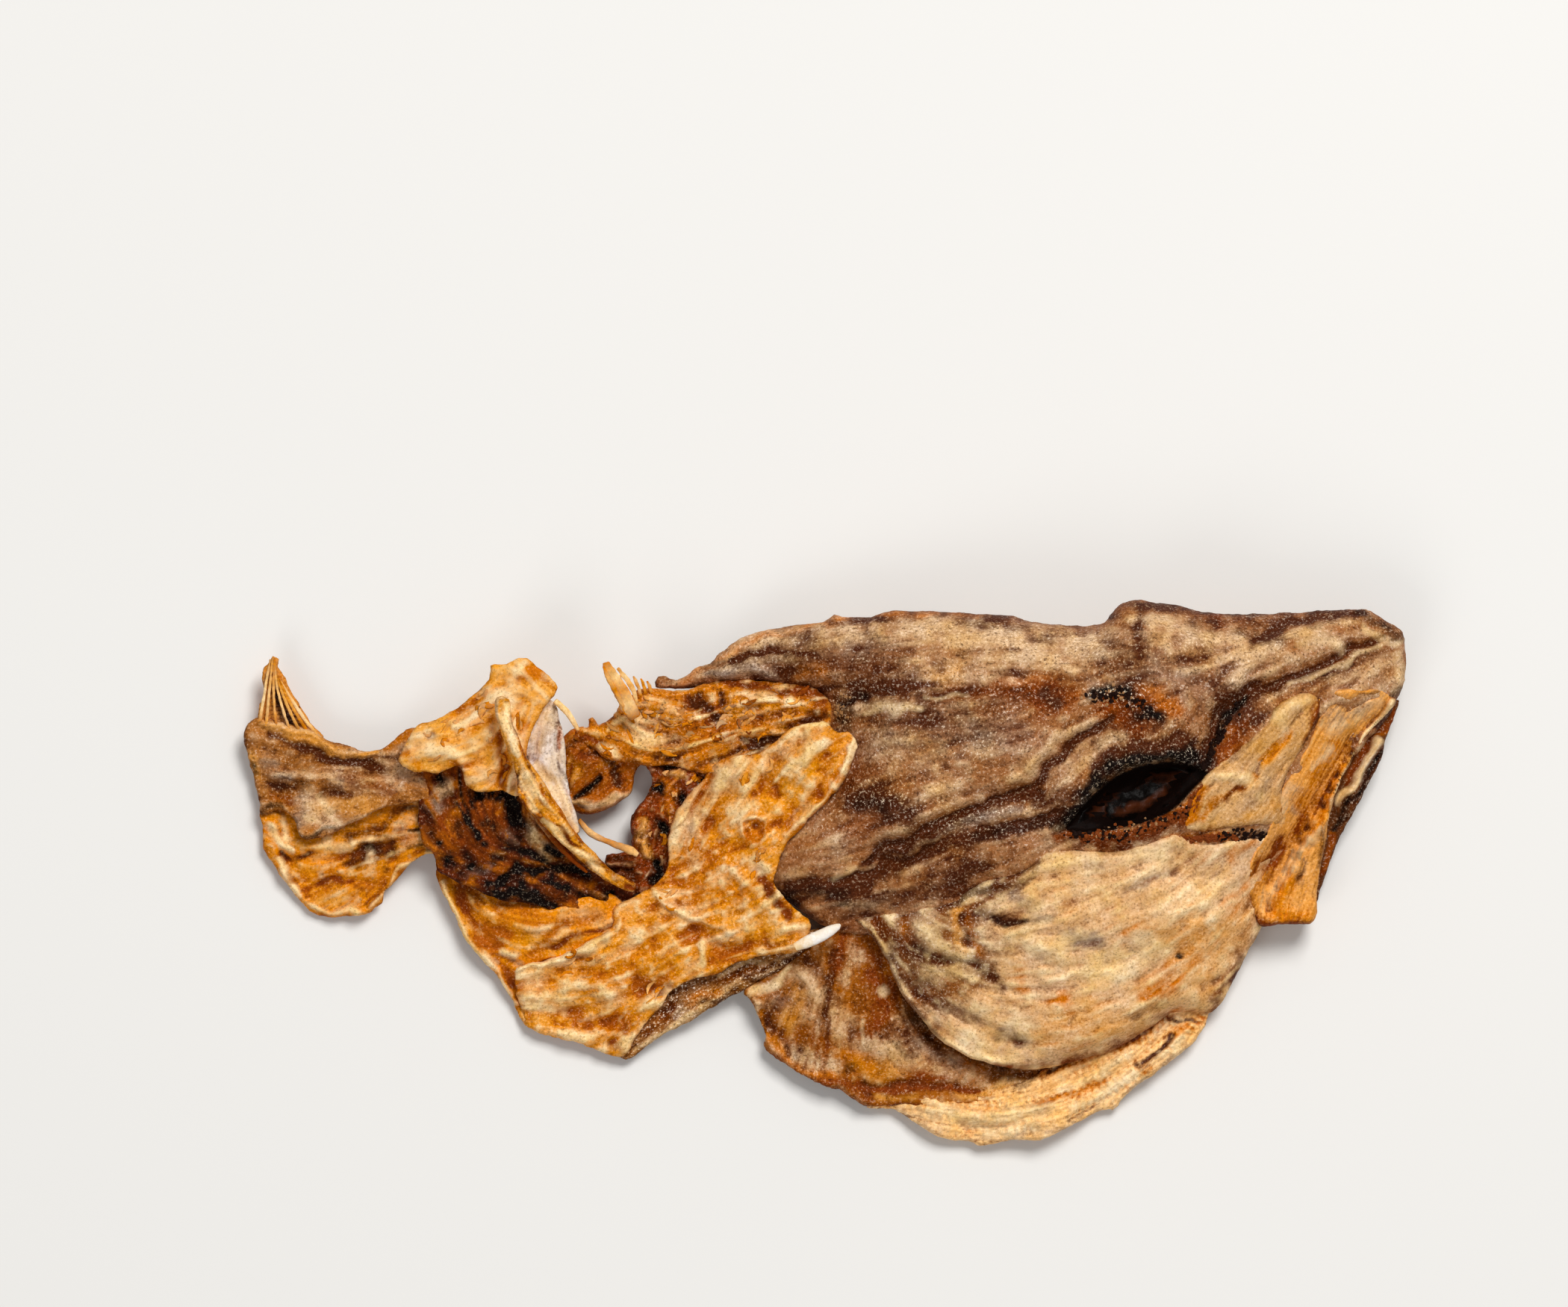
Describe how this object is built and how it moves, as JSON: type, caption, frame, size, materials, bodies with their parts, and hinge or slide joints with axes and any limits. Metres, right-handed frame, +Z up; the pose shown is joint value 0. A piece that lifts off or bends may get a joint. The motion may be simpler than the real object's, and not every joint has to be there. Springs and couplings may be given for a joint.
{
  "type": "dried stockfish head",
  "caption": "Air-dried cod head lying on its side: skull with shrunken eye, gill cover and throat band, opened collar with bone struts behind it, and a fan-shaped rear end.",
  "frame": {"origin": "middle of the object's box in plan, at the height of the surface that it lies on", "axes": "+X towards the snout, +Y towards the back of the head, +Z up from the surface"},
  "size_m": [0.3098, 0.1456, 0.043],
  "materials": {
    "brown_skin": "dry, wrinkled fish skin with a fine grain",
    "pale_skin": "dry, thin pale skin over bone, slightly waxy",
    "dark_skin": "dark, oily and creased",
    "amber_sheet": "translucent dried flesh, satin",
    "golden_band": "fibrous, satin",
    "rusty_flesh": "spongy and rough",
    "cream_bone": "waxy bone, satin",
    "white_gristle": "smooth gristle, satin",
    "grey_film": "thin dried film, slightly glossy",
    "dark_eye": "shrunken dark lens, semi-gloss"
  },
  "bodies": {
    "root": {"head": "brown_skin", "gill_cover": "pale_skin", "eye": "dark_eye", "gill_skirt": "brown_skin", "throat_band": "golden_band", "jaw_strap": "golden_band", "lower_lip": "brown_skin", "collar_plate": "amber_sheet", "collar_hem": "brown_skin", "belly_flap": "amber_sheet", "neck_flesh": "rusty_flesh", "gill_arch": "rusty_flesh", "gill_stub": "rusty_flesh", "shoulder_skin": "dark_skin", "shoulder_cap": "cream_bone", "shoulder_film": "grey_film", "collar_strut": "cream_bone", "strut_fork": "cream_bone", "cross_rod": "cream_bone", "thin_rod": "cream_bone", "neck_spur": "cream_bone", "collar_spike": "white_gristle", "fan_skin": "brown_skin", "fan_lobe": "amber_sheet", "fan_rays": "golden_band"}
  },
  "joints": []
}
